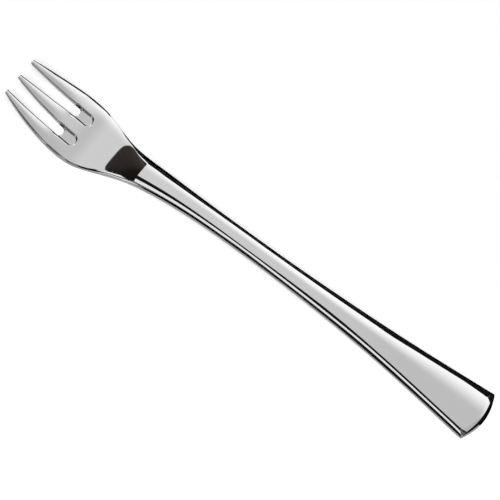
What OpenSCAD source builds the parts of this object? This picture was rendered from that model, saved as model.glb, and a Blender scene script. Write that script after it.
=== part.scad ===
// Oyster fork: one stamped and polished steel blank, modelled as the sections that its forming makes.
// X runs from the tine tips to the handle end, Y to the right with the tips pointing away, and Z up
// from the table that the fork lies on. The origin is at the middle of its footprint.

/* [Tines] */
// Length of a tine, from its tip to the centre of the slot root
tine_len = 15.4; // [13:0.1:20]
// Width of a tine at its tip
tip_w = 1.2; // [1:0.05:1.6]
// Thickness of a tine at its tip
tip_t = 1.1; // [0.9:0.05:1.4]
// Distance from the middle tip to an outer tip
tip_pitch = 5.35; // [5:0.05:6]
// Height of the top of the tips above the table
tip_h = 10.7; // [8.5:0.1:12]
// Radius of the corners of a tip, seen from above
tip_corner_r = 0.45; // [0.3:0.05:0.5]
// Length of the rounded edge at a tip
tip_edge_w = 0.35; // [0.2:0.05:0.5]
// Width of the middle tine at its root
middle_root_w = 4.1; // [3.6:0.1:4.6]
// Rise of the crown across a tine
tine_crown = 0.12; // [0.05:0.01:0.2]

/* [Head] */
// Length of the palm, from the slot roots to the neck
head_len = 14.6; // [12:0.1:17]
// Greatest width of the head
head_w = 18.1; // [17:0.1:21]
// Thickness of the palm where the fork rests on the table
head_t = 1.9; // [1.6:0.05:2.4]
// Width of a slot at its root
slot_w = 2.8; // [2.4:0.1:3.2]
// Length of the step that carries a slot into the palm
step_len = 4; // [3:0.1:5]
// Depth of the step where it meets the slot
step_depth = 0.9; // [0.6:0.05:1.1]
// Depth of the step at its rounded end
step_end_depth = 0.45; // [0.3:0.05:0.6]
// Length of the flat under the palm that rests on the table
palm_rest_len = 2; // [1:0.1:3]
// Width of the rounded edges of the palm and the tines
palm_edge_w = 0.6; // [0.4:0.05:0.8]
// Height of the rounded edges of the palm
palm_edge_h = 0.55; // [0.4:0.05:0.7]

/* [Neck] */
// Length of the neck, from the palm to the crease
neck_len = 10.6; // [8:0.1:13]
// Width where the palm ends and the neck starts
throat_w = 12.8; // [11:0.1:14]
// Width of the neck at the crease
neck_w = 8.6; // [7.6:0.1:9.6]
// Height of the crease above the table
crease_h = 6.3; // [5.8:0.1:6.8]
// Thickness of the neck at the crease
neck_t = 3.6; // [3.2:0.1:4.2]
// Width of the bevels at the crease
crease_bevel_w = 2; // [1.6:0.05:2.4]
// Height of the bevels at the crease
crease_bevel_h = 2.2; // [1.7:0.05:2.5]

/* [Handle] */
// Length of the shank and the handle, from the crease to the crown of the end
handle_len = 109.4; // [90:0.1:130]
// Width of the handle at its waist
waist_w = 5.85; // [5:0.05:7]
// Height of the handle's highest point above the table
crest_h = 8.1; // [7.6:0.1:9]
// Thickness of the handle at its highest point
crest_t = 2.55; // [2.35:0.05:3]
// Width of the bevels at the waist
waist_bevel_w = 1.3; // [1:0.05:1.5]
// Height of the bevels at the waist
waist_bevel_h = 1.5; // [1.2:0.05:1.65]
// Width of the handle across the corners of its end
end_w = 14.8; // [12:0.1:17]
// Thickness of the handle at its end
end_t = 2.1; // [1.9:0.05:2.4]
// Rise of the arch of the end over its corners
end_rise = 1.8; // [1:0.1:2.5]
// Radius of the corners of the end, seen from above
end_corner_r = 0.5; // [0.3:0.05:0.8]
// Length of the flat under the end that rests on the table
end_rest_len = 3; // [2:0.1:5]
// Width of the bevels along the sides at the end
end_bevel_w = 1.5; // [1.2:0.05:1.8]
// Height of the bevels at the end
end_bevel_h = 1; // [0.7:0.05:1.1]
// Width of the bevel across the arch of the end
arch_bevel_w = 1.2; // [0.8:0.05:1.5]
// Rise of the crown across the facet at the waist
waist_crown = 0.1; // [0.05:0.01:0.15]
// Rise of the crown across the facet at the end
end_crown = 0.3; // [0.1:0.05:0.35]

/* [Underside] */
// Width of the rounded edges of the underside
under_edge_w = 0.5; // [0.3:0.05:0.6]
// Height of the rounded edges of the underside
under_edge_h = 0.4; // [0.3:0.05:0.45]

/* [Hidden] */
steel = [0.80, 0.80, 0.79];
overrun = 0.5;
slot_fn = 96;

// Steps of a rounded edge, of a facet between its edges, and of each section along the fork
edge_steps = 4;
facet_steps = 6;
tine_steps = 14;
palm_steps = 10;
throat_steps = 4;
neck_steps = 12;
shank_steps = 14;
handle_steps = 30;
rest_steps = 2;
relax_times = 40;

// Tilt at which an edge leaves the surface above it: none for a polished round, more for a crisp bevel
round_start = 0;
bevel_start = 30;

// Shares that shape the curves between the named sizes: along, then up or out
palm_rest_share = 0.75;
waist_share = 0.3;
arch_start_share = 0.82;
under_tine_shares = [[0.30, 0.545], [0.64, 0.20]];
under_neck_shares = [[0.48, 0.20]];
under_crest_shares = [[0.065, 0.80], [0.20, 1], [0.48, 0.80], [0.74, 0.46]];
top_tine_shares = [[0.30, 0.56], [0.64, 0.21]];
top_neck_shares = [[0.27, 0.13], [0.64, 0.50]];
top_crest_shares = [[0.055, 0.545], [0.11, 0.86], [0.21, 1]];
top_handle_shares = [[0.35, 0.905], [0.59, 0.70], [0.80, 0.355]];
outline_tine_shares = [[0.31, 0.40], [0.675, 0.76]];
outline_head_shares = [[0.21, 1], [0.578, 0.78]];
outline_neck_shares = [[0.47, 0.395]];
outline_crease_shares = [[0.12, 0.31]];
outline_handle_shares = [[0.52, 0.09], [0.74, 0.40]];
middle_tine_shares = [[0.37, 0.475], [0.69, 0.76]];
neck_bevel_shares = [[0.57, 0.37]];
crease_bevel_shares = [[0.12, 0.36]];
narrow_edge_share = 0.33;

// Places along the fork, measured from the tips
neck_x = tine_len + head_len;
crease_x = neck_x + neck_len;
total_len = crease_x + handle_len;
rest_x = tine_len + palm_rest_share * head_len;
palm_rest_a = rest_x - palm_rest_len / 2;
palm_rest_b = rest_x + palm_rest_len / 2;
waist_x = crease_x + waist_share * handle_len;
arch_x = crease_x + arch_start_share * handle_len;
corner_x = total_len - end_rise;
end_rest_x = corner_x - end_rest_len;

// Places across the fork
slot_r = slot_w / 2;
slot_y = middle_root_w / 2 + slot_r;
tip_half = tip_pitch + tip_w / 2;
slot_tip_y = tip_pitch - tip_w / 2;
slot_root_y = slot_y + slot_r;

// Smooth curve through knots: slopes at the knots keep the curvature steady, and an end slope can be fixed
function gap(k, i) = k[i + 1].x - k[i].x;
function rate(k, i) = (k[i + 1].y - k[i].y) / gap(k, i);
function end_slope(k, m, i, j, fixed) = fixed != undef ? fixed : (3 * rate(k, min(i, j)) - m[j]) / 2;
function mid_slope(k, m, i) =
    (3 * (gap(k, i) * rate(k, i - 1) + gap(k, i - 1) * rate(k, i)) - gap(k, i) * m[i - 1]
        - gap(k, i - 1) * m[i + 1]) / (2 * (gap(k, i - 1) + gap(k, i)));
function relax(k, m, first, last, times) = times == 0 ? m : relax(k, [
    for (i = [0 : len(k) - 1])
        i == 0 ? end_slope(k, m, 0, 1, first)
        : i == len(k) - 1 ? end_slope(k, m, i, i - 1, last)
        : mid_slope(k, m, i)
], first, last, times - 1);
function curve(k, first, last) = [k, relax(k, [for (p = k) 0], first, last, relax_times)];
function span(k, x) = max(0, min(len(k) - 2, len([for (p = k) if (p.x < x) p]) - 1));
function hermite(k, m, i, t) =
    (1 + 2 * t) * (1 - t) ^ 2 * k[i].y + t * t * (3 - 2 * t) * k[i + 1].y
    + gap(k, i) * (t * (1 - t) ^ 2 * m[i] - t * t * (1 - t) * m[i + 1]);
function at(c, x) = let (i = span(c[0], x)) hermite(c[0], c[1], i, (x - c[0][i].x) / gap(c[0], i));
// Knots at shares of the way from point a to point b
function between(a, b, shares) = [for (s = shares) [a.x + s.x * (b.x - a.x), a.y + s.y * (b.y - a.y)]];

// Height of the underside: down from the tips, flat under the palm, over the crest, flat under the end
tip_under_h = tip_h - tip_t;
crease_under_h = crease_h - neck_t;
crest_under_h = crest_h - crest_t;
front_under = curve(concat([[0, tip_under_h]],
    [for (s = under_tine_shares) [s.x * palm_rest_a, s.y * tip_under_h]],
    [[palm_rest_a, 0]]), undef, 0);
rear_under = curve(concat([[palm_rest_b, 0]],
    between([palm_rest_b, 0], [crease_x, crease_under_h], under_neck_shares),
    [[crease_x, crease_under_h]],
    between([crease_x, 0], [total_len, crest_under_h], under_crest_shares),
    [[end_rest_x, 0]]), 0, undef);
function under(x) = x < palm_rest_a ? at(front_under, x)
    : x < palm_rest_b || x > end_rest_x ? 0 : at(rear_under, x);

// Height of the top: one curve from the tips to the crease, another from the crease to the end
front_top = curve(concat([[0, tip_h]],
    [for (s = top_tine_shares) [s.x * rest_x, head_t + s.y * (tip_h - head_t)]],
    [[rest_x, head_t]],
    between([rest_x, head_t], [crease_x, crease_h], top_neck_shares),
    [[crease_x, crease_h]]), undef, undef);
rear_top = curve(concat([[crease_x, crease_h]],
    between([crease_x, crease_h], [total_len, crest_h], top_crest_shares),
    between([crease_x, end_t], [total_len, crest_h], top_handle_shares),
    [[corner_x, end_t]]), undef, undef);
function top(x) = x < crease_x ? at(front_top, x) : at(rear_top, x);
function thickness(x) = top(x) - under(x);

// Half widths of the whole outline and of the middle tine, and the slot's far side
outline = curve(concat([[0, tip_half]],
    between([0, tip_half], [tine_len, head_w / 2], outline_tine_shares),
    between([tine_len, throat_w / 2], [neck_x, head_w / 2], outline_head_shares),
    [[neck_x, throat_w / 2]],
    between([neck_x, neck_w / 2], [crease_x, throat_w / 2], outline_neck_shares),
    [[crease_x, neck_w / 2]],
    between([crease_x, waist_w / 2], [total_len, neck_w / 2], outline_crease_shares),
    [[waist_x, waist_w / 2]],
    between([crease_x, waist_w / 2], [total_len, end_w / 2], outline_handle_shares),
    [[corner_x, end_w / 2]]), undef, undef);
middle_outline = curve(concat([[0, tip_w / 2]],
    between([0, tip_w / 2], [tine_len, middle_root_w / 2], middle_tine_shares),
    [[tine_len, middle_root_w / 2]]), undef, undef);
function slot_far(x) = slot_tip_y + (slot_root_y - slot_tip_y) * x / tine_len;

// Widths and heights of the edges above the wall, and the crown between them
neck_bevel_w = curve(concat([[rest_x, palm_edge_w]],
    between([rest_x, palm_edge_w], [crease_x, crease_bevel_w], neck_bevel_shares),
    [[crease_x, crease_bevel_w]]), 0, undef);
neck_bevel_h = curve(concat([[rest_x, palm_edge_h]],
    between([rest_x, palm_edge_h], [crease_x, crease_bevel_h], neck_bevel_shares),
    [[crease_x, crease_bevel_h]]), 0, undef);
handle_bevel_w = curve(concat([[crease_x, crease_bevel_w]],
    between([crease_x, waist_bevel_w], [total_len, crease_bevel_w], crease_bevel_shares),
    [[waist_x, waist_bevel_w], [corner_x, end_bevel_w]]), undef, undef);
handle_bevel_h = curve([[crease_x, crease_bevel_h], [waist_x, waist_bevel_h], [corner_x, end_bevel_h]],
    undef, undef);
function edge_w(x) = x < rest_x ? palm_edge_w : x < crease_x ? at(neck_bevel_w, x) : at(handle_bevel_w, x);
function edge_h(x) = x < rest_x ? palm_edge_h * min(1, thickness(x) / head_t)
    : x < crease_x ? at(neck_bevel_h, x) : at(handle_bevel_h, x);
function edge_start(x) = x < rest_x ? round_start
    : bevel_start + (round_start - bevel_start) * max(0, crease_x - x) / (crease_x - rest_x);
function under_h(x) = under_edge_h * min(1, thickness(x) / head_t);
function crown(x) = x < tine_len ? tine_crown * (1 - (x / tine_len) ^ 2)
    : x < neck_x ? 0
    : x < crease_x ? waist_crown * (x - neck_x) / neck_len
    : waist_crown + (end_crown - waist_crown) * ((x - crease_x) / handle_len) ^ 2;

// Way in from the wall, and way up to the surface, at step k of an edge that leaves at the tilt start
function edge_tilt(k, start) = 90 - k * (90 - start) / edge_steps;
function way_in(k, start) = (1 - sin(edge_tilt(k, start))) / (1 - sin(start));
function way_up(k, start) = cos(edge_tilt(k, start)) / cos(start);
// Loss of half width at the distance d from an end whose corners have the radius r
function corner_loss(d, r) = d < r ? r - sqrt(r * r - (r - d) ^ 2) : 0;

// One row of points across, from the side a to the side b, with an edge at each side
function row(a, b, w, h, z, rise, start) = concat(
    [for (k = [0 : edge_steps]) [a + w * way_in(k, start), z - rise - h * (1 - way_up(k, start))]],
    [for (k = [1 : facet_steps - 1]) [a + w + (b - a - 2 * w) * k / facet_steps,
        z - rise * (2 * k / facet_steps - 1) ^ 2]],
    [for (k = [edge_steps : -1 : 0]) [b - w * way_in(k, start), z - rise - h * (1 - way_up(k, start))]]);
// The same row, flattened towards the height of the wall by a share, near an end
function flattened(points, wall_z, share) = [for (p = points) [p.x, wall_z + (p.y - wall_z) * share]];
function top_row(x, a, b, share) = let (w = min(edge_w(x), narrow_edge_share * (b - a)))
    flattened(row(a, b, w, edge_h(x), top(x), crown(x), edge_start(x)),
        top(x) - crown(x) - edge_h(x), share);
function under_row(x, a, b, share) = let (w = min(under_edge_w, narrow_edge_share * (b - a)))
    flattened(row(a, b, w, -under_h(x), under(x), 0, round_start), under(x) + under_h(x), share);

// Bulge of the rows towards the arched end
function arch(x) = x < arch_x ? 0 : end_rise * ((x - arch_x) / (corner_x - arch_x)) ^ 2;
function placed(x, points, half) = [for (p = points)
    [x + arch(x) * (1 - (p.x / half) ^ 2) - total_len / 2, p.x, p.y]];

// Closed solid between a grid of top points and a grid of under points
function quad(a, b, c, d) = [[a, b, c], [a, c, d]];
function joined(lists) = [for (l = lists) each l];
module slab(tops, unders) {
    n = len(tops);
    m = len(tops[0]);
    low = n * m;
    faces = joined(concat(
        [for (i = [0 : n - 2], j = [0 : m - 2]) let (q = i * m + j) quad(q, q + 1, q + m + 1, q + m)],
        [for (i = [0 : n - 2], j = [0 : m - 2]) let (q = low + i * m + j) quad(q, q + m, q + m + 1, q + 1)],
        [for (i = [0 : n - 2]) let (q = i * m) quad(q, q + m, low + q + m, low + q)],
        [for (i = [0 : n - 2]) let (q = i * m + m - 1) quad(q + m, q, low + q, low + q + m)],
        [for (j = [0 : m - 2]) quad(j + 1, j, low + j, low + j + 1)],
        [for (j = [0 : m - 2]) let (q = (n - 1) * m + j) quad(q, q + 1, low + q + 1, low + q)]));
    polyhedron(joined(concat(tops, unders)), faces);
}

// Stations along a section, as places with the share of the height that is left near an end
function even(a, b, steps) = [for (k = [0 : steps]) [a + (b - a) * k / steps, 1]];
tip_stations = concat(
    [for (k = [0 : edge_steps - 1]) [tip_edge_w * way_in(k, round_start), way_up(k, round_start)]],
    even(tip_edge_w, tine_len, tine_steps));
end_stations = concat(
    even(waist_x, end_rest_x, handle_steps),
    even(end_rest_x + (corner_x - arch_bevel_w - end_rest_x) / rest_steps, corner_x - arch_bevel_w,
        rest_steps - 1),
    [for (k = [edge_steps - 1 : -1 : 0])
        [corner_x - arch_bevel_w * way_in(k, bevel_start), way_up(k, bevel_start)]]);

// Half width of the handle, with the corners of its end taken off
function handle_half(x) = at(outline, x) - corner_loss(corner_x - x, end_corner_r);

module outer_tine() {
    sides = [for (s = tip_stations) let (loss = corner_loss(s.x, tip_corner_r))
        [slot_far(s.x) + loss, at(outline, s.x) - loss]];
    slab([for (i = [0 : len(sides) - 1]) let (s = tip_stations[i])
            placed(s.x, top_row(s.x, sides[i].x, sides[i].y, s.y), tip_half)],
        [for (i = [0 : len(sides) - 1]) let (s = tip_stations[i])
            placed(s.x, under_row(s.x, sides[i].x, sides[i].y, s.y), tip_half)]);
}

module left_tine() {
    color(steel) mirror([0, 1, 0]) outer_tine();
}

module right_tine() {
    color(steel) outer_tine();
}

module middle_tine() {
    halves = [for (s = tip_stations) at(middle_outline, s.x) - corner_loss(s.x, tip_corner_r)];
    color(steel) slab(
        [for (i = [0 : len(halves) - 1]) let (s = tip_stations[i])
            placed(s.x, top_row(s.x, -halves[i], halves[i], s.y), tip_half)],
        [for (i = [0 : len(halves) - 1]) let (s = tip_stations[i])
            placed(s.x, under_row(s.x, -halves[i], halves[i], s.y), tip_half)]);
}

// Stretch of the blank over its whole width, through a list of stations
module stretch(stations) {
    slab([for (s = stations) placed(s.x, top_row(s.x, -at(outline, s.x), at(outline, s.x), s.y), head_w)],
        [for (s = stations) placed(s.x, under_row(s.x, -at(outline, s.x), at(outline, s.x), s.y), head_w)]);
}

// Round root of a slot, right through the palm
module slot_root() {
    translate([tine_len - total_len / 2, slot_y, -overrun])
        cylinder(r = slot_r, h = tip_h, $fn = slot_fn);
}

// Step from the slot into the palm, with a round end and a floor that slopes with the palm
module slot_step() {
    far_x = tine_len + step_len + slot_r;
    floor_z = top(tine_len) - step_depth;
    far_floor_z = top(far_x) - step_end_depth;
    slope = atan2(floor_z - far_floor_z, far_x - tine_len);
    translate([tine_len - total_len / 2, slot_y, floor_z]) rotate([0, slope, 0])
        linear_extrude(height = head_t + step_depth) {
            translate([-overrun, -slot_r]) square([step_len + overrun, slot_w]);
            translate([step_len, 0]) circle(r = slot_r, $fn = slot_fn);
        }
}

module head() {
    color(steel) difference() {
        stretch(concat(even(tine_len, palm_rest_a, palm_steps), even(palm_rest_b, neck_x, throat_steps)));
        for (side = [0, 1]) mirror([0, side, 0]) {
            slot_root();
            slot_step();
        }
    }
}

module neck() {
    color(steel) stretch(even(neck_x, crease_x, neck_steps));
}

module shank() {
    color(steel) stretch(even(crease_x, waist_x, shank_steps));
}

module handle() {
    color(steel) slab(
        [for (s = end_stations) placed(s.x, top_row(s.x, -handle_half(s.x), handle_half(s.x), s.y),
            handle_half(s.x))],
        [for (s = end_stations) placed(s.x, under_row(s.x, -handle_half(s.x), handle_half(s.x), s.y),
            handle_half(s.x))]);
}

left_tine();
middle_tine();
right_tine();
head();
neck();
shank();
handle();
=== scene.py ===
"""Oyster fork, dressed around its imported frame.

The fork's sizes are in millimetres: X from the tine tips, Y to the right with the tips pointing away, Z up
from the table. Its meshes are written in metres, in the frame's own axes. The studio's sizes are in metres.
"""
import math

import bmesh
import bpy
import numpy as np
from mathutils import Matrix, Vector


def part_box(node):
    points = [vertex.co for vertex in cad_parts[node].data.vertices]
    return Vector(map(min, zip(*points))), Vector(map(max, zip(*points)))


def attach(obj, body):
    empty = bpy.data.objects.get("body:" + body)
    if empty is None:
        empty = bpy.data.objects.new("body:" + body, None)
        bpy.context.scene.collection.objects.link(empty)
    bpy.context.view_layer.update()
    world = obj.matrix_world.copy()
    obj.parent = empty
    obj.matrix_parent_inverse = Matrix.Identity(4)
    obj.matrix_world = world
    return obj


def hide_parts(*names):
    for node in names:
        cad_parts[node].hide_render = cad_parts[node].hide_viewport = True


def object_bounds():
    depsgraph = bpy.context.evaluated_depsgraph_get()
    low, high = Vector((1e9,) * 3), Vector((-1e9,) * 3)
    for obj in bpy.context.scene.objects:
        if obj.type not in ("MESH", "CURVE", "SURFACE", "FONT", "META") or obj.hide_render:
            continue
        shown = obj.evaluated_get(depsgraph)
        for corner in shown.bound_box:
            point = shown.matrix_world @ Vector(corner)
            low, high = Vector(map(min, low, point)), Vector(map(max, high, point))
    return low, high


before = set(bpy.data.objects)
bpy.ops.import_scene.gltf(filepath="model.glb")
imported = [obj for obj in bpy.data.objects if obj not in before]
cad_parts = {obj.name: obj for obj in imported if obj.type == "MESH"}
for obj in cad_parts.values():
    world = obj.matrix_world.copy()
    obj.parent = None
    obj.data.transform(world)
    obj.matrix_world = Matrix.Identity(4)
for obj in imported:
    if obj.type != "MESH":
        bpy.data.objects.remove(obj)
CAD_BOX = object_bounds()
MM = 0.001
BODY = "root"


# Places along the fork, measured from the tips of the tines

TIPS_X = CAD_BOX[0].x / MM


def from_tips(node, end):
    """Distance from the tips to the near (0) or far (1) end of a CAD node."""
    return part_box(node)[end].x / MM - TIPS_X


ROOT_X = from_tips("head", 0)
NECK_X = from_tips("neck", 0)
CREASE_X = from_tips("shank", 0)
WAIST_X = from_tips("handle", 0)
END_X = from_tips("handle", 1)


# Sizes. Most are those of the part's source. The edges and bevels, the tips, and the width and thickness at the
# crease are finished here and differ from it by tenths of a millimetre

TIP_W = 1.2
TIP_T = 1.1
TIP_PITCH = 5.35
TIP_H = 10.6
TIP_CORNER_R = 0.2
TIP_EDGE_W = 0.36
MIDDLE_ROOT_W = 4.1
TINE_TILT = 11.5
TINE_EDGE_W = 0.6
TINE_EDGE_H = 0.5
SLOT_EDGE_W = 0.33
SLOT_EDGE_H = 0.38
HEAD_W = 18.09
HEAD_T = 1.9
SLOT_W = 2.8
STEP_LEN = 4.0
STEP_DEPTH = 0.9
STEP_END_DEPTH = 0.45
PALM_REST_LEN = 2.0
PALM_EDGE_W = 0.33
PALM_EDGE_H = 0.51
THROAT_W = 12.8
NECK_W = 8.5
CREASE_H = 6.3
NECK_T = 3.05
CREASE_BEVEL_W = 2.3
CREASE_BEVEL_H = 2.5
WAIST_W = 5.85
CREST_H = 8.1
CREST_T = 2.55
WAIST_BEVEL_W = 1.35
WAIST_BEVEL_H = 1.75
END_W = 14.8
END_T = 2.1
END_RISE = 1.8
END_CORNER_R = 0.5
END_REST_LEN = 3.0
END_BEVEL_W = 1.62
END_BEVEL_H = 1.35
ARCH_BEVEL_W = 1.2
WAIST_CROWN = 0.1
END_CROWN = 0.3
UNDER_EDGE_W = 0.5
UNDER_EDGE_H = 0.3

# Polishing: soft turn-down of the palm, and the edges and fillets of the slot steps
PALM_TURN = 0.19
PALM_POWER = 6
STEP_EDGE_W = 0.5
STEP_EDGE_H = 0.42
STEP_FILLET_W = 0.3
ROOT_SHARE = 0.35
ROOT_EDGE_W = 0.25
ROOT_EDGE_H = 0.2

REST_SHARE = 0.75
ARCH_SHARE = 0.82
REST_X = ROOT_X + REST_SHARE * (NECK_X - ROOT_X)
REST_A = REST_X - PALM_REST_LEN / 2
REST_B = REST_X + PALM_REST_LEN / 2
ARCH_X = CREASE_X + ARCH_SHARE * (END_X - CREASE_X)
CORNER_X = END_X - END_RISE
END_REST_X = CORNER_X - END_REST_LEN
SLOT_R = SLOT_W / 2
SLOT_Y = MIDDLE_ROOT_W / 2 + SLOT_R
SLOT_ROOT_Y = SLOT_Y + SLOT_R
SLOT_TIP_Y = TIP_PITCH - TIP_W / 2
TIP_HALF = TIP_PITCH + TIP_W / 2
STEP_X = ROOT_X + STEP_LEN
STEP_FAR_X = STEP_X + SLOT_R
NARROW_SHARE = 0.22
END_CORNER_POWER = 1.8
TILT_POWER = 4
LEAST_EDGE_H = SLOT_EDGE_H / 4

# Places between which an edge or a turn grows or fades
WORN_X = (18, 24)
SLOT_GROWS_X = (ROOT_X - 1, ROOT_X)
STEP_FADES_X = (ROOT_X, ROOT_X + 2)
CHAMFER_GROWS_X = (ROOT_X, ROOT_X + 3)
TURN_GROWS_X = (ROOT_X / 2, ROOT_X + 2)
TURN_FADES_X = (NECK_X - 8, CREASE_X - 2)

# Columns of points across the surfaces, the width beside a slot in which they are close together, and the
# length beyond a step over which the rows still bend round the slot
TINE_COLUMNS = 16
PALM_COLUMNS = 14
MIDDLE_COLUMNS = 10
SLOT_COLUMNS = 41
FACET_COLUMNS = 24
SLOT_SIDE_W = 0.4
SLOT_MESH_LEN = 0.6


# Curves

def spline(knots, first=None, last=None):
    """Smooth curve through knots with a steady curvature. An end slope can be fixed."""
    x, y = np.array(knots, float).T
    n = len(x)
    gap = np.diff(x)
    rate = np.diff(y) / gap
    rows = np.zeros((n, n))
    right = np.zeros(n)
    for i in range(1, n - 1):
        rows[i, i - 1:i + 2] = gap[i], 2 * (gap[i - 1] + gap[i]), gap[i - 1]
        right[i] = 3 * (gap[i] * rate[i - 1] + gap[i - 1] * rate[i])
    rows[0, :2] = (2, 1) if first is None else (1, 0)
    right[0] = 3 * rate[0] if first is None else first
    rows[-1, -2:] = (1, 2) if last is None else (0, 1)
    right[-1] = 3 * rate[-1] if last is None else last
    slope = np.linalg.solve(rows, right)

    def at(s):
        s = np.asarray(s, float)
        i = np.clip(np.searchsorted(x, s) - 1, 0, n - 2)
        t = (s - x[i]) / gap[i]
        return ((1 + 2 * t) * (1 - t) ** 2 * y[i] + t * t * (3 - 2 * t) * y[i + 1]
                + gap[i] * (t * (1 - t) ** 2 * slope[i] - t * t * (1 - t) * slope[i + 1]))
    return at


def between(a, b, *shares):
    """Knots at shares of the way from point a to point b."""
    return [(a[0] + s * (b[0] - a[0]), a[1] + t * (b[1] - a[1])) for s, t in shares]


def smooth(x, a, b):
    """Soft step from 0 at a to 1 at b."""
    t = np.clip((np.asarray(x, float) - a) / (b - a), 0, 1)
    return t * t * (3 - 2 * t)


TIP_UNDER_H = TIP_H - TIP_T
CREASE_UNDER_H = CREASE_H - NECK_T
CREST_UNDER_H = CREST_H - CREST_T

front_under = spline(
    [(0, TIP_UNDER_H), *between((0, 0), (REST_A, TIP_UNDER_H), (0.30, 0.545), (0.64, 0.20)),
     (REST_A, 0)], last=0)
rear_under = spline(
    [(REST_B, 0), *between((REST_B, 0), (CREASE_X, CREASE_UNDER_H), (0.48, 0.20)), (CREASE_X, CREASE_UNDER_H),
     *between((CREASE_X, 0), (END_X, CREST_UNDER_H), (0.065, 0.85), (0.20, 1), (0.48, 0.80), (0.74, 0.46)),
     (END_REST_X, 0)], first=0)
front_top = spline(
    [(0, TIP_H), *between((0, HEAD_T), (REST_X, TIP_H), (0.30, 0.56), (0.64, 0.21)), (REST_X, HEAD_T),
     *between((REST_X, HEAD_T), (CREASE_X, CREASE_H), (0.27, 0.13), (0.64, 0.50)), (CREASE_X, CREASE_H)])
rear_top = spline(
    [(CREASE_X, CREASE_H),
     *between((CREASE_X, CREASE_H), (END_X, CREST_H), (0.055, 0.545), (0.11, 0.86), (0.21, 1)),
     *between((CREASE_X, END_T), (END_X, CREST_H), (0.35, 0.905), (0.59, 0.70), (0.80, 0.355)),
     (CORNER_X, END_T)])
outline = spline(
    [(0, TIP_HALF), *between((0, TIP_HALF), (ROOT_X, HEAD_W / 2), (0.31, 0.40), (0.675, 0.76)),
     *between((ROOT_X, THROAT_W / 2), (NECK_X, HEAD_W / 2), (0.21, 1), (0.578, 0.78)), (NECK_X, THROAT_W / 2),
     *between((NECK_X, NECK_W / 2), (CREASE_X, THROAT_W / 2), (0.47, 0.316)), (CREASE_X, NECK_W / 2),
     *between((CREASE_X, WAIST_W / 2), (END_X, NECK_W / 2), (0.12, 0.31)), (WAIST_X, WAIST_W / 2),
     *between((CREASE_X, WAIST_W / 2), (END_X, END_W / 2), (0.52, 0.09), (0.74, 0.40)),
     (CORNER_X, END_W / 2)])
middle_outline = spline(
    [(0, TIP_W / 2), *between((0, TIP_W / 2), (ROOT_X, MIDDLE_ROOT_W / 2), (0.37, 0.475), (0.69, 0.76)),
     (ROOT_X, MIDDLE_ROOT_W / 2)])
neck_bevel_w = spline(
    [(REST_X, PALM_EDGE_W),
     *between((REST_X, PALM_EDGE_W), (CREASE_X, CREASE_BEVEL_W), (0.27, 0.09), (0.50, 0.168), (0.78, 0.662)),
     (CREASE_X, CREASE_BEVEL_W)], first=0)
neck_bevel_h = spline(
    [(REST_X, PALM_EDGE_H),
     *between((REST_X, PALM_EDGE_H), (CREASE_X, CREASE_BEVEL_H), (0.27, 0.06), (0.50, 0.115), (0.78, 0.457)),
     (CREASE_X, CREASE_BEVEL_H)], first=0)
handle_bevel_w = spline(
    [(CREASE_X, CREASE_BEVEL_W), *between((CREASE_X, WAIST_BEVEL_W), (END_X, CREASE_BEVEL_W), (0.12, 0.457)),
     *between((WAIST_X, WAIST_BEVEL_W), (CORNER_X, END_BEVEL_W), (0, 0), (0.41, 0.7)),
     (CORNER_X, END_BEVEL_W)])
handle_bevel_h = spline([(CREASE_X, CREASE_BEVEL_H), (WAIST_X, WAIST_BEVEL_H), (CORNER_X, END_BEVEL_H)])


def under(x):
    """Height of the underside, flat at both points of rest."""
    return np.where(x < REST_A, front_under(x),
                    np.where((x < REST_B) | (x > END_REST_X), 0, rear_under(x)))


def top(x, after_crease=False):
    """Height of the top on the fork's axis. At the crease it belongs to the front unless told otherwise."""
    return np.where((x > CREASE_X) | after_crease, rear_top(x), front_top(x))


def thin(x):
    """Share of the palm's thickness that is left, for edges on thinner steel."""
    return np.minimum(1, (top(x) - under(x)) / HEAD_T)


def slot_far(x):
    """Side of a slot that is away from the fork's axis, where the outer tine starts."""
    return SLOT_TIP_Y + (SLOT_ROOT_Y - SLOT_TIP_Y) * x / ROOT_X


def worn(x):
    """Share of the tines' broad outer edge that is left. It fades out along the palm."""
    return 1 - smooth(x, *WORN_X)


def edge_w(x):
    """Width of the outer edge or bevel."""
    return np.where(x < REST_X, PALM_EDGE_W + (TINE_EDGE_W - PALM_EDGE_W) * worn(x),
                    np.where(x < CREASE_X, neck_bevel_w(x), handle_bevel_w(x)))


def edge_h(x):
    """Height of the outer edge or bevel."""
    return np.where(x < REST_X, (PALM_EDGE_H + (TINE_EDGE_H - PALM_EDGE_H) * worn(x)) * thin(x),
                    np.where(x < CREASE_X, neck_bevel_h(x), handle_bevel_h(x)))


def slot_edge(x, fine, broad):
    """Edge of a tine along a slot, which grows to the edge of the step at the slot's root."""
    return fine + (broad - fine) * smooth(x, *SLOT_GROWS_X)


def step_edge(x, size):
    """Edge of a step, broadest at the slot's root."""
    return size * (1 + ROOT_SHARE * (1 - smooth(x, *STEP_FADES_X)))


def palm_turn(x):
    """Drop of the palm's surface at its sides."""
    return PALM_TURN * smooth(x, *TURN_GROWS_X) * (1 - smooth(x, *TURN_FADES_X))


def facet_crown(x):
    """Drop of the handle's facet at its sides."""
    along = np.clip((x - CREASE_X) / (END_X - CREASE_X), 0, 1)
    return WAIST_CROWN * smooth(x, NECK_X, CREASE_X) + (END_CROWN - WAIST_CROWN) * along ** 2


# Edges

ARC_POINTS = 120


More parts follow.
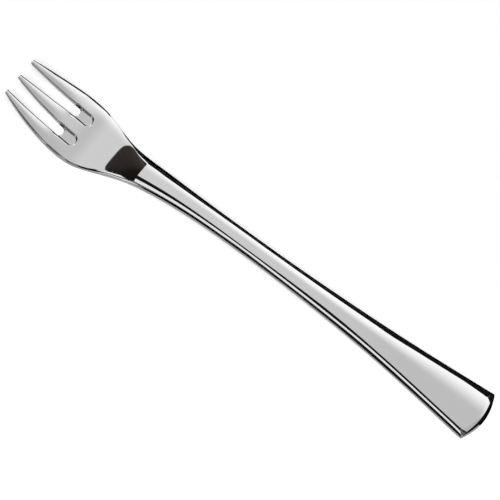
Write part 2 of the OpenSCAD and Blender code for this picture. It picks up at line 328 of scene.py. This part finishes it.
def arc_form(*arcs):
    """Edge made of arcs, each given by the tilt where it ends and its radius, from the surface to the wall.

    The result takes the share of the edge's width from the wall and gives the share of its height."""
    out, down, start = [np.zeros(1)], [np.zeros(1)], 0.0
    for end, radius in arcs:
        tilt = np.linspace(start, math.radians(end), ARC_POINTS)
        out.append(out[-1][-1] + radius * (np.sin(tilt) - np.sin(start)))
        down.append(down[-1][-1] + radius * (np.cos(start) - np.cos(tilt)))
        start = math.radians(end)
    out, down = np.concatenate(out), np.concatenate(down)
    share_in = 1 - out[::-1] / out[-1]
    share_up = 1 - down[::-1] / down[-1]
    return lambda q: np.interp(q, share_in, share_up)


round_form = arc_form((90, 1.0))
palm_form = arc_form((36, 0.06), (48, 2.0))
bevel_form = arc_form((14, 0.5), (30, 1.16), (45, 2.17), (62, 1.88), (80, 2.94), (90, 0.66))


def edge_form(x, q):
    """Round at the tines, narrow chamfer along the palm, crisp bevel from the crease on."""
    soft = smooth(x, *CHAMFER_GROWS_X)
    crisp = smooth(x, REST_X, CREASE_X)
    return (1 - crisp) * ((1 - soft) * round_form(q) + soft * palm_form(q)) + crisp * bevel_form(q)


def both(*shares, power=2.5):
    """Joint share at a corner where edges meet, with the corner of the surface between them rounded."""
    return sum(np.maximum(s, 1e-4) ** -power for s in shares) ** (-1 / power)


def crown(u, power):
    """Crown that goes on straight beyond the facet."""
    u = np.abs(u)
    return np.where(u < 1, u ** power, 1 + power * (u - 1))


def corner_loss(d, r):
    """Loss of half width at the distance d from an end whose corners have the radius r."""
    return np.where(d < r, r - np.sqrt(np.maximum(0, r * r - (r - d) ** 2)), 0)


EDGE_COLUMNS = np.unique(np.round(np.concatenate(
    [1 - np.sin(np.linspace(math.pi / 2, 0, 15)), np.linspace(0.80, 1, 9)]), 5))


def across(a, b, w_a, w_b, count):
    """Columns of points from side a to side b, close together in the edges at both sides."""
    a, b, w_a, w_b = (np.asarray(v, float)[:, None] for v in (a, b, w_a, w_b))
    inner = np.linspace(0, 1, count + 2)[1:-1]
    return np.hstack([a + w_a * EDGE_COLUMNS, a + w_a + (b - w_b - a - w_a) * inner,
                      b - w_b * EDGE_COLUMNS[::-1]])


def steps(*stops):
    """Stations through stops, each given as a place and the spacing that leads up to it."""
    places = [stops[0][0]]
    for place, spacing in stops[1:]:
        count = max(1, round((place - places[-1]) / spacing))
        places += list(np.linspace(places[-1], place, count + 1)[1:])
    return np.array(places)


# Surfaces

def blank_top(x, y, half, q_end=None, after_crease=False):
    """Height of the top where the blank has its whole width."""
    w, h, palm, facet = edge_w(x), edge_h(x), palm_turn(x), facet_crown(x)
    flat = half - w
    u = y / flat
    turn = (PALM_POWER * palm + 2 * facet) / flat
    q = (half - np.abs(y)) / w
    if q_end is not None:
        q = both(q, q_end, power=END_CORNER_POWER)
    return (top(x, after_crease) - palm * crown(u, PALM_POWER) - facet * crown(u, 2)
            - np.maximum(h - palm - turn * w, LEAST_EDGE_H) * (1 - edge_form(x, np.clip(q, 0, 1))))


def blank_under(x, *distances):
    """Height of the underside at the given distances from the edges."""
    q = both(*[d / UNDER_EDGE_W for d in distances])
    return under(x) + UNDER_EDGE_H * thin(x) * (1 - round_form(np.clip(q, 0, 1)))


def tine_rows():
    """Stations along a tine, close together at its tip and root."""
    tip = TIP_EDGE_W * EDGE_COLUMNS[::2]
    return np.concatenate([tip, steps((TIP_EDGE_W, 0), (ROOT_X - 1, 0.25), (ROOT_X, 0.1))[1:]])


def tine(side_a, side_b):
    """Grid of a tine between two sides, each a function of the place along it."""
    rows = tine_rows()
    loss = corner_loss(rows, TIP_CORNER_R)
    a, b = side_a(rows) + loss, side_b(rows) - loss
    outer = side_b is outline
    most_w = NARROW_SHARE * (b - a)
    w_a = np.minimum(slot_edge(rows, SLOT_EDGE_W, step_edge(ROOT_X, STEP_EDGE_W)), most_w)
    w_b = np.minimum(edge_w(rows), most_w) if outer else w_a
    y = across(a, b, w_a, w_b, TINE_COLUMNS)
    x = np.repeat(rows[:, None], y.shape[1], 1)
    a, b, w_a, w_b = (v[:, None] for v in (a, b, w_a, w_b))
    flat = (b - w_b - a - w_a) / 2
    rise = math.tan(math.radians(TINE_TILT)) / 2 * flat * (1 - (x / ROOT_X) ** TILT_POWER)
    palm = palm_turn(x) * outer
    palm_flat = outline(x) - w_b
    q = both((y - a) / w_a, (b - y) / w_b, x / TIP_EDGE_W)
    near_b = smooth(y, a + w_a, b - w_b)
    h_a = slot_edge(x, SLOT_EDGE_H * thin(x), step_edge(ROOT_X, STEP_EDGE_H))
    h_b = edge_h(x) if outer else h_a
    h = (h_a - 2 * rise * w_a / flat) * (1 - near_b) + near_b * (
        h_b - 2 * rise * w_b / flat - palm * (1 + PALM_POWER * w_b / palm_flat))
    z = (top(x) - rise * crown((y - (a + w_a + b - w_b) / 2) / flat, 2)
         - palm * crown(y / palm_flat, PALM_POWER)
         - np.maximum(h, LEAST_EDGE_H) * (1 - round_form(np.clip(q, 0, 1))))
    return x, y, z, blank_under(x, y - a, b - y, x)


def head():
    """Grid of the palm. The columns in a slot start at its round root, the others at the tines."""
    mesh_end = STEP_FAR_X + SLOT_MESH_LEN
    rows = steps((ROOT_X, 0), (ROOT_X + 0.4, 0.1), (STEP_X, 0.18), (mesh_end, 0.06),
                 (NECK_X - 0.5, 0.3), (NECK_X, 0.1))
    half = outline(rows)
    ones = np.ones_like(rows)
    side_w = SLOT_SIDE_W * ones
    slot_angle = np.linspace(-math.pi / 2, math.pi / 2, SLOT_COLUMNS)[1:-1]
    in_slot = SLOT_Y + SLOT_R * np.sin(slot_angle)
    outer = across(SLOT_ROOT_Y * ones, half, side_w, edge_w(rows), PALM_COLUMNS)
    middle = across(-MIDDLE_ROOT_W / 2 * ones, MIDDLE_ROOT_W / 2 * ones, side_w, side_w, MIDDLE_COLUMNS)
    slot = np.repeat(in_slot[None, :], len(rows), 0)
    y = np.hstack([-outer[:, ::-1], -slot[:, ::-1], middle, slot, outer])
    n_outer, n_slot, n_middle = outer.shape[1], slot.shape[1], middle.shape[1]
    is_slot = np.repeat([False, True, False, True, False], [n_outer, n_slot, n_middle, n_slot, n_outer])
    x = np.repeat(rows[:, None], y.shape[1], 1)
    front = np.where(is_slot, np.sqrt(np.maximum(0, SLOT_R ** 2 - (np.abs(y) - SLOT_Y) ** 2)), 0)
    x = x + front * np.clip((mesh_end - x) / (mesh_end - ROOT_X), 0, 1)

    off_axis = np.abs(y) - SLOT_Y
    to_wall = np.where(x < STEP_X, np.abs(off_axis), np.hypot(x - STEP_X, off_axis)) - SLOT_R
    to_root = np.maximum(0, np.hypot(x - ROOT_X, off_axis) - SLOT_R)
    root_z, far_z = top(ROOT_X) - STEP_DEPTH, top(STEP_FAR_X) - STEP_END_DEPTH
    floor_z = root_z + (far_z - root_z) * (x - ROOT_X) / (STEP_FAR_X - ROOT_X)
    palm_z = blank_top(x, y, outline(x))
    into = np.clip(-to_wall / STEP_FILLET_W, 0, 1)
    edge_drop = step_edge(x, STEP_EDGE_H)
    wall_z = palm_z - edge_drop
    inside = wall_z - (wall_z - floor_z) * np.sqrt(1 - (1 - into) ** 2)
    outside = palm_z - edge_drop * (1 - round_form(np.clip(to_wall / step_edge(x, STEP_EDGE_W), 0, 1)))
    root_drop = ROOT_EDGE_H * (1 - round_form(np.clip(to_root / ROOT_EDGE_W, 0, 1)))
    z = np.where(to_wall < 0, inside - root_drop, outside)
    return x, y, z, blank_under(x, outline(x) - np.abs(y), to_root), is_slot


def stretch(*stops, after_crease=False):
    """Grid of a section over the whole width of the blank, with stations through the stops."""
    rows = steps(*stops)
    half = outline(rows)
    y = across(-half, half, edge_w(rows), edge_w(rows), FACET_COLUMNS)
    x = np.repeat(rows[:, None], y.shape[1], 1)
    half = half[:, None]
    return x, y, blank_top(x, y, half, after_crease=after_crease), blank_under(x, half - np.abs(y))


def handle():
    """Grid of the handle, whose rows bulge to the arched end."""
    bevel = CORNER_X - ARCH_BEVEL_W * EDGE_COLUMNS[::-1]
    facet = steps((WAIST_X, 0), (WAIST_X + 0.5, 0.1), (ARCH_X, 0.6), (CORNER_X - 4, 0.4), (bevel[0], 0.1))
    rows = np.concatenate([facet[:-1], bevel])
    half = outline(rows) - corner_loss(CORNER_X - rows, END_CORNER_R)
    y = across(-half, half, edge_w(rows), edge_w(rows), FACET_COLUMNS)
    s = np.repeat(rows[:, None], y.shape[1], 1)
    half = half[:, None]
    to_end = CORNER_X - s
    bulge = END_RISE * np.clip((s - ARCH_X) / (CORNER_X - ARCH_X), 0, 1) ** 2
    x = s + bulge * (1 - (y / half) ** 2)
    z = blank_top(s, y, half, q_end=to_end / ARCH_BEVEL_W)
    return x, y, z, blank_under(s, half - np.abs(y), to_end)


# Pieces

def solid(name, x, y, z_top, z_under, front_joint=True, back_joint=True):
    """Closed mesh between a top grid and an under grid. A joint is a flat cap against the next section."""
    n, m = x.shape
    low = n * m
    points = np.vstack([np.column_stack([x.ravel() + TIPS_X, y.ravel(), z.ravel()])
                        for z in (z_top, z_under)])
    grid = np.arange(low).reshape(n, m)

    def quads(a, b, c, d):
        return np.column_stack([v.ravel() for v in (a, b, c, d)])

    skin = np.vstack([
        quads(grid[:-1, :-1], grid[1:, :-1], grid[1:, 1:], grid[:-1, 1:]),
        low + quads(grid[:-1, :-1], grid[:-1, 1:], grid[1:, 1:], grid[1:, :-1]),
        quads(grid[:-1, 0], low + grid[:-1, 0], low + grid[1:, 0], grid[1:, 0]),
        quads(grid[1:, -1], low + grid[1:, -1], low + grid[:-1, -1], grid[:-1, -1])])
    front = quads(grid[0, :-1], grid[0, 1:], low + grid[0, 1:], low + grid[0, :-1])
    back = quads(grid[-1, 1:], grid[-1, :-1], low + grid[-1, :-1], low + grid[-1, 1:])
    flat = np.concatenate([np.zeros(len(skin), bool), np.broadcast_to(front_joint, len(front)),
                           np.broadcast_to(back_joint, len(back))])
    mesh = bpy.data.meshes.new(name)
    mesh.from_pydata((points * MM).tolist(), [], np.vstack([skin, front, back]).tolist())
    mesh.polygons.foreach_set("use_smooth", np.ones(len(mesh.polygons), bool))
    work = bmesh.new()
    work.from_mesh(mesh)
    for edge in work.edges:
        kinds = {bool(flat[f.index]) for f in edge.link_faces}
        edge.smooth = len(kinds) < 2
    work.to_mesh(mesh)
    work.free()
    piece = bpy.data.objects.new(name, mesh)
    bpy.context.scene.collection.objects.link(piece)
    return piece


def mirrored(x, y, z_top, z_under):
    """Grid of the same form on the other side of the fork's axis."""
    return x[:, ::-1], -y[:, ::-1], z_top[:, ::-1], z_under[:, ::-1]


right = tine(slot_far, outline)
middle = tine(lambda x: -middle_outline(x), middle_outline)
*palm, is_slot = head()
neck = stretch((NECK_X, 0), (NECK_X + 0.5, 0.1), (CREASE_X - 0.5, 0.25), (CREASE_X, 0.05))
shank = stretch((CREASE_X, 0), (CREASE_X + 0.5, 0.05), (WAIST_X - 0.5, 0.4), (WAIST_X, 0.1), after_crease=True)
pieces = {
    "left_tine": solid("left_tine_steel", *mirrored(*right), front_joint=False),
    "middle_tine": solid("middle_tine_steel", *middle, front_joint=False),
    "right_tine": solid("right_tine_steel", *right, front_joint=False),
    "head": solid("head_steel", *palm, front_joint=~(is_slot[:-1] | is_slot[1:])),
    "neck": solid("neck_steel", *neck),
    "shank": solid("shank_steel", *shank),
    "handle": solid("handle_steel", *handle(), back_joint=False),
}


# Steel

def node(tree, kind, **values):
    """New shader node with some of its settings and inputs set."""
    made = tree.nodes.new(kind)
    for key, value in values.items():
        if hasattr(made, key):
            setattr(made, key, value)
        else:
            made.inputs[key.replace("_", " ")].default_value = value
    return made


def ramp(tree, source, *stops):
    """Colour ramp over a factor. Each stop is a place with a grey level or a colour."""
    made = tree.nodes.new("ShaderNodeValToRGB")
    elements = made.color_ramp.elements
    while len(elements) < len(stops):
        elements.new(0.5)
    for element, (place, level) in zip(elements, stops):
        element.position = place
        element.color = (*level, 1) if hasattr(level, "__len__") else (level, level, level, 1)
    tree.links.new(source, made.inputs["Fac"])
    return made.outputs["Color"]


def colour_socket(sockets, name):
    """Socket of a mixing node that carries a colour."""
    return next(s for s in sockets if s.name == name and s.type == "RGBA")


def polished_steel():
    """Mirror-polished stainless steel: faint polishing lines along the fork and soft changes of gloss."""
    material = bpy.data.materials.new("polished_steel")
    material.use_nodes = True
    tree = material.node_tree
    link = tree.links.new
    shader = tree.nodes["Principled BSDF"]
    shader.inputs["Metallic"].default_value = 1.0
    place = node(tree, "ShaderNodeTexCoord").outputs["Object"]

    clouds = node(tree, "ShaderNodeTexNoise", Scale=90.0, Detail=3.0, Roughness=0.5)
    link(place, clouds.inputs["Vector"])
    lines_place = node(tree, "ShaderNodeMapping", Scale=(60.0, 2600.0, 2600.0))
    link(place, lines_place.inputs["Vector"])
    lines = node(tree, "ShaderNodeTexNoise", Scale=1.0, Detail=4.0, Roughness=0.6)
    link(lines_place.outputs["Vector"], lines.inputs["Vector"])

    link(ramp(tree, clouds.outputs["Fac"], (0.3, (0.81, 0.797, 0.803)), (0.7, (0.83, 0.817, 0.823))),
         shader.inputs["Base Color"])
    gloss = node(tree, "ShaderNodeMix", data_type="FLOAT")
    gloss.inputs["Factor"].default_value = 0.35
    link(clouds.outputs["Fac"], gloss.inputs["A"])
    link(lines.outputs["Fac"], gloss.inputs["B"])
    link(ramp(tree, gloss.outputs["Result"], (0.3, 0.025), (0.7, 0.05)), shader.inputs["Roughness"])
    bump = node(tree, "ShaderNodeBump", Strength=0.05, Distance=0.00001)
    link(lines.outputs["Fac"], bump.inputs["Height"])
    link(bump.outputs["Normal"], shader.inputs["Normal"])
    return material


steel = polished_steel()
for name, piece in pieces.items():
    piece.data.materials.append(steel)
    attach(piece, BODY)
    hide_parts(name)


# Studio: a soft panel overhead with a bay and a dim room behind it, a strip light on the near side, grey cards,
# cards on the floor, the floor itself and one lamp

CAMERA_AZIMUTH = 37.5
CAMERA_ELEVATION = 68.0
CAMERA_DISTANCE = 0.8
CAMERA_LENS = 224.6
AIM = Vector((0.00073, -0.00012, 0.0040))


def card(name, corners, light, **seen_by):
    """Flat card with the given corners. Its light is a level, or a function that makes it from the place."""
    mesh = bpy.data.meshes.new(name)
    mesh.from_pydata(corners, [], [tuple(range(len(corners)))])
    made = bpy.data.objects.new(name, mesh)
    bpy.context.scene.collection.objects.link(made)
    material = bpy.data.materials.new(name)
    material.use_nodes = True
    tree = material.node_tree
    tree.nodes.clear()
    output = tree.nodes.new("ShaderNodeOutputMaterial")
    emission = node(tree, "ShaderNodeEmission", Strength=1.0)
    if callable(light):
        place = node(tree, "ShaderNodeTexCoord").outputs["Object"]
        tree.links.new(light(tree, place), emission.inputs["Color"])
    else:
        emission.inputs["Color"].default_value = (light, light, light, 1)
    tree.links.new(emission.outputs["Emission"], output.inputs["Surface"])
    mesh.materials.append(material)
    made.visible_camera = False
    made.visible_diffuse = False
    made.visible_shadow = False
    for ray, seen in seen_by.items():
        setattr(made, "visible_" + ray, seen)


def spread(tree, source, low, high, soft=False):
    """Share from 0 to 1 of the way between two values."""
    made = node(tree, "ShaderNodeMapRange", interpolation_type="SMOOTHSTEP" if soft else "LINEAR")
    made.inputs["From Min"].default_value = low
    made.inputs["From Max"].default_value = high
    tree.links.new(source, made.inputs["Value"])
    return made.outputs["Result"]


# The panel lies level above the fork. Places on it are shares of its height, which are tangents of the tilt of
# the direction that leads to them. PANEL_FAR gives its far side by places along the fork and tilts across it.
# PANEL_NEAR gives the tilts of its near side at the places in NEAR_TURN. Its tip end has a bay, which the neck
# mirrors. The panel brightens between the tilts in FAR_LIGHT, and in the part that the tines mirror between
# those in TINE_LIGHT. TINE_PLACE gives the places between which the one gives way to the other.
PANEL_H = 2.0
PANEL_ENDS = (-3.6, 1.3)
PANEL_NEAR = (0.0, -11.0)
NEAR_TURN = (0.0, 0.12)
PANEL_FAR = ((-3.6, 46.0), (-0.95, 46.0), (-0.70, 34.0), (-0.50, 34.0), (-0.32, 42.5), (-0.15, 42.5),
             (-0.07, 40.0), (-0.05, 33.0), (0.05, 33.0), (0.12, 40.0), (1.3, 40.0))
BAY = ((-1.24, 0.0), (-1.14, 0.10), (-1.06, 0.28), (-1.07, 0.44), (-1.17, 0.55), (-1.36, 0.74),
       (-1.70, 1.00), (-2.10, 1.28), (-2.70, 1.65), (-3.6, 2.20))
FAR_POINTS = 80
BAY_POINTS = 60
FAR_LIGHT = (17.5, 32.5)
TINE_LIGHT = (8.0, 36.0)
TINE_PLACE = (0.14, 0.32)

# The dim room lies just above the panel. Its light changes along ROOM_TURN, between the shares in ROOM_SPAN
ROOM_LIFT = 1.02
ROOM = ((-3.6, -0.8), (-0.9, -0.8), (-0.9, 1.0), (-3.6, 2.0))
ROOM_TURN = (0.32, 1, 0)
ROOM_SPAN = (-0.10, 0.50)


def side(x, degrees):
    """Place across the panel whose direction has the given tilt across the fork."""
    return math.tan(math.radians(degrees)) * math.hypot(1, x)


def panel_outline():
    """Corners of the panel, with a smooth bay."""
    far = [(x, side(x, float(np.interp(x, *zip(*PANEL_FAR)))))
           for x in np.linspace(*PANEL_ENDS[::-1], FAR_POINTS)]
    near = [(x, side(x, tilt))
            for x, tilt in zip((*NEAR_TURN, PANEL_ENDS[1]), (*PANEL_NEAR, PANEL_NEAR[1]))]
    count = np.arange(len(BAY))
    bay = [spline(np.column_stack([count, v])) for v in zip(*BAY)]
    turn = [tuple(float(v(t)) for v in bay) for t in np.linspace(count[-1], 0, BAY_POINTS)]
    return [*far, *turn[1:], *near]


def panel_light(tree, place):
    """Light that is bright on the far side, and grey on the near side, where it darkens to the handle end."""
    where = node(tree, "ShaderNodeSeparateXYZ")
    tree.links.new(place, where.inputs["Vector"])
    direction = node(tree, "ShaderNodeVectorMath", operation="NORMALIZE")
    tree.links.new(place, direction.inputs[0])
    across_fork = node(tree, "ShaderNodeSeparateXYZ")
    tree.links.new(direction.outputs["Vector"], across_fork.inputs["Vector"])
    far = node(tree, "ShaderNodeMix", data_type="FLOAT")
    for_tines = spread(tree, where.outputs["X"], *(PANEL_H * x for x in TINE_PLACE), soft=True)
    tree.links.new(for_tines, far.inputs["Factor"])
    for name, tilts in (("A", FAR_LIGHT), ("B", TINE_LIGHT)):
        edges = (math.sin(math.radians(t)) for t in tilts)
        tree.links.new(spread(tree, across_fork.outputs["Y"], *edges, soft=True), far.inputs[name])
    along = spread(tree, where.outputs["X"], -PANEL_H, PANEL_H)
    level = node(tree, "ShaderNodeMix", data_type="RGBA")
    tree.links.new(far.outputs["Result"], level.inputs["Factor"])
    grey = ramp(tree, along, (0.38, 0.745), (0.43, 0.72), (0.525, 0.63), (0.60, 0.61), (0.66, 0.55),
                (0.785, 0.53))
    bright = ramp(tree, along, (0.60, 1.2), (0.75, 1.08))
    tree.links.new(grey, colour_socket(level.inputs, "A"))
    tree.links.new(bright, colour_socket(level.inputs, "B"))
    return colour_socket(level.outputs, "Result")


def dark_room(tree, place):
    """Warm dim light behind the bay. It grows towards the far side, and stops there."""
    turn = node(tree, "ShaderNodeVectorMath", operation="DOT_PRODUCT")
    turn.inputs[1].default_value = ROOM_TURN
    tree.links.new(place, turn.inputs[0])
    return ramp(tree, spread(tree, turn.outputs["Value"], *(PANEL_H * share for share in ROOM_SPAN)),
                (0, (0.0110, 0.0092, 0.0079)), (0.5, (0.0475, 0.0397, 0.0341)),
                (0.667, (0.086, 0.072, 0.062)), (0.75, (0.012, 0.010, 0.0085)))


card("panel", [(x * PANEL_H, y * PANEL_H, PANEL_H) for x, y in panel_outline()], panel_light)
card("dark_room", [(x * PANEL_H, y * PANEL_H, PANEL_H * ROOM_LIFT) for x, y in ROOM], dark_room)

CARD_DISTANCE = 2.0


def side_card(name, corners, level):
    """Card beside the fork, whose corners are places along the fork and tilts across it."""
    card(name, [(x, CARD_DISTANCE * math.sin(math.radians(t)), CARD_DISTANCE * math.cos(math.radians(t)))
                for x, t in corners], level)


def between_tilts(ends, tilts):
    """Corners of a side card between two places along the fork and two tilts across it."""
    return [(ends[0], tilts[0]), (ends[1], tilts[0]), (ends[1], tilts[1]), (ends[0], tilts[1])]


side_card("strip", [(-1.25, -51), (-0.75, -51.5), (-0.54, -50.5), (-0.46, -50), (-0.36, -45.5),
                    (-0.2, -38.5), (-0.1, -33), (0.2, -31), (0.2, -49), (-0.1, -50), (-0.2, -53),
                    (-0.3, -62), (-0.42, -76), (-0.56, -79), (-0.9, -81), (-1.03, -71)], 0.95)

# Grey cards: three on the near side, beyond the handle end of the strip, and a dim one on the far side
GREY_ENDS = (0.2, 3.0)
side_card("grey_high", between_tilts(GREY_ENDS, (-20, -46)), 0.14)
side_card("grey_middle", between_tilts(GREY_ENDS, (-46, -70)), 0.38)
side_card("grey_low", between_tilts(GREY_ENDS, (-70, -88)), 0.20)
side_card("grey_far", between_tilts((0.24, 0.42), (44, 60)), 0.06)

# Cards on the floor that only the steel mirrors: grey close to the fork and by the near side of the palm,
# which is painted shade of the floor beside the fork, and black farther away. Black under the roots of the
# slots, which is painted shade under the palm, and black beyond the arch. White floor is left by the near side
# of the tines, in a gap by the near side of the neck and in a gap by the far side of the palm.
FLOOR_CARD_H = 0.0003
FLOOR_CARD_GAP = 0.00002
FLOOR_CARDS = (
    ("floor_right", 0.0, ((-0.078, 0.0098), (-0.0525, 0.0098), (-0.0525, 0.02), (-0.0468, 0.02),
                          (-0.0468, 0.003), (1.0, 0.003), (1.0, 0.8), (-0.6, 0.8), (-0.6, 0.04),
                          (-0.078, 0.04))),
    # Painted shade: grey for the fork's shadow on the floor close by, as the steel mirrors it
    ("painted_shade_close", 0.42, ((-0.078, -0.016), (-0.057, -0.016), (-0.057, -0.045), (-0.0455, -0.045),
                           (-0.0455, -0.016), (-0.0445, -0.016), (-0.0445, -0.0095), (-0.0385, -0.0095),
                           (-0.0385, -0.016), (1.0, -0.016), (1.0, 0.003), (-0.0468, 0.003),
                           (-0.0468, 0.0098), (-0.078, 0.0098))),
    ("floor_left", 0.0, ((-0.0455, -0.016), (-0.0445, -0.016), (-0.0445, -0.026), (-0.0385, -0.026),
                         (-0.0385, -0.016), (1.0, -0.016), (1.0, -0.8), (-0.28, -0.8))),
    # Painted shade: black for the shade under the palm at the roots of the slots, as the steel mirrors it
    ("painted_shade_roots", 0.0, ((-0.0615, -0.006), (-0.052, -0.006), (-0.052, 0.006), (-0.0615, 0.006))),
    ("floor_arch", 0.0, ((0.0738, -0.0015), (0.0785, -0.0015), (0.080, -0.016), (0.2, -0.016),
                         (0.2, 0.0098), (0.0738, 0.0098))),
)
for i, (name, level, corners) in enumerate(FLOOR_CARDS):
    card(name, [(x, y, FLOOR_CARD_H + FLOOR_CARD_GAP * i) for x, y in corners], level, transmission=False)


FLOOR_SIZE = 12.0
FLOOR_DROP = 0.00005
FLOOR_LIFT = 0.57


def pale_floor():
    """Grey floor that keeps the fork's shadow, lifted to white where the camera or the steel sees it."""
    material = bpy.data.materials.new("pale_floor")
    material.use_nodes = True
    tree = material.node_tree
    shader = tree.nodes["Principled BSDF"]
    shader.inputs["Base Color"].default_value = (0.5, 0.5, 0.5, 1)
    shader.inputs["Roughness"].default_value = 1.0
    shader.inputs["Specular IOR Level"].default_value = 0.0
    shader.inputs["Emission Color"].default_value = (1, 1, 1, 1)
    path = node(tree, "ShaderNodeLightPath")
    seen = path.outputs["Is Camera Ray"]
    for ray in ("Is Glossy Ray", "Is Transmission Ray"):
        either = node(tree, "ShaderNodeMath", operation="MAXIMUM")
        tree.links.new(seen, either.inputs[0])
        tree.links.new(path.outputs[ray], either.inputs[1])
        seen = either.outputs["Value"]
    lift = node(tree, "ShaderNodeMath", operation="MULTIPLY")
    lift.inputs[1].default_value = FLOOR_LIFT
    tree.links.new(seen, lift.inputs[0])
    tree.links.new(lift.outputs["Value"], shader.inputs["Emission Strength"])
    return material


floor_mesh = bpy.data.meshes.new("floor")
reach = FLOOR_SIZE / 2
floor_mesh.from_pydata([(-reach, -reach, 0), (reach, -reach, 0), (reach, reach, 0), (-reach, reach, 0)], [],
                       [(0, 1, 2, 3)])
floor = bpy.data.objects.new("floor", floor_mesh)
floor.location.z = -FLOOR_DROP
floor_mesh.materials.append(pale_floor())
bpy.context.scene.collection.objects.link(floor)

world = bpy.data.worlds.new("studio")
world.use_nodes = True
background = world.node_tree.nodes["Background"]
background.inputs["Color"].default_value = (0.008, 0.008, 0.0085, 1)
background.inputs["Strength"].default_value = 1.0
bpy.context.scene.world = world

camera_data = bpy.data.cameras.new("camera")
camera_data.lens = CAMERA_LENS
camera_data.clip_start = 0.01
camera_data.clip_end = 50.0
camera = bpy.data.objects.new("camera", camera_data)
azimuth, elevation = math.radians(CAMERA_AZIMUTH), math.radians(CAMERA_ELEVATION)
back = Vector((math.sin(azimuth) * math.cos(elevation), -math.cos(azimuth) * math.cos(elevation),
               math.sin(elevation)))
camera.location = AIM + back * CAMERA_DISTANCE
camera.rotation_mode = "QUATERNION"
camera.rotation_quaternion = (-back).to_track_quat("-Z", "Y")
bpy.context.scene.collection.objects.link(camera)
bpy.context.scene.camera = camera
bpy.context.scene.view_settings.view_transform = "Standard"

# Soft lamp behind the camera, so that the fork hides most of its own shadow
LAMP_DISTANCE = 2.0
lamp_data = bpy.data.lights.new("lamp", "AREA")
lamp_data.shape = "DISK"
lamp_data.size = 0.8
lamp_data.energy = 40.0
lamp = bpy.data.objects.new("lamp", lamp_data)
lamp.location = AIM + back * LAMP_DISTANCE
lamp.rotation_mode = "QUATERNION"
lamp.rotation_quaternion = camera.rotation_quaternion
lamp.visible_glossy = False
bpy.context.scene.collection.objects.link(lamp)
